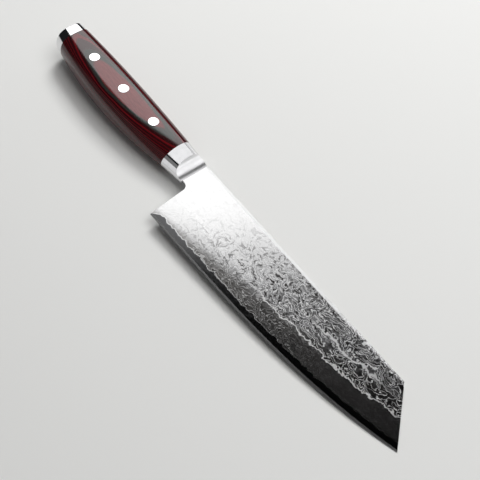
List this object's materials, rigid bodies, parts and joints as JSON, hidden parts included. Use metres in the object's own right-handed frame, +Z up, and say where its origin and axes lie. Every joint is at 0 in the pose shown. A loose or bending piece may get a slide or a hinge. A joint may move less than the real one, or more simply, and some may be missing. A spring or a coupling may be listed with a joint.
{
  "type": "kiritsuke knife",
  "caption": "Kitchen knife with a tall straight-edged blade of layered steel, a clipped tip, a steel bolster and a riveted laminated grip with a steel butt cap.",
  "frame": {"origin": "bottom centre of the bounding box, on the surface that the knife lies on", "axes": "+X towards the tip, +Y towards the spine, +Z up out of the right face; the blade's middle plane falls by 2.07 degrees from the bolster to the tip, because the knife lies on its left side"},
  "size_m": [0.3406, 0.049, 0.0222],
  "materials": {
    "core_steel": "hardened stainless core, finely ground",
    "damascus_steel": "layered stainless cladding, etched to show its pattern",
    "tang_steel": "plain stainless strip, hidden in the grip",
    "polished_steel": "mirror-polished stainless steel",
    "rivet_steel": "polished stainless rivet, ground flush",
    "laminated_wood": "resin-bonded sheets in red and black, polished"
  },
  "bodies": {
    "root": {"blade_core": "core_steel", "cladding_right": "damascus_steel", "cladding_left": "damascus_steel", "tang": "tang_steel", "bolster": "polished_steel", "butt_cap": "polished_steel", "scale_right": "laminated_wood", "scale_left": "laminated_wood", "front_rivet_male": "rivet_steel", "front_rivet_female": "rivet_steel", "middle_rivet_male": "rivet_steel", "middle_rivet_female": "rivet_steel", "rear_rivet_male": "rivet_steel", "rear_rivet_female": "rivet_steel"}
  },
  "joints": []
}
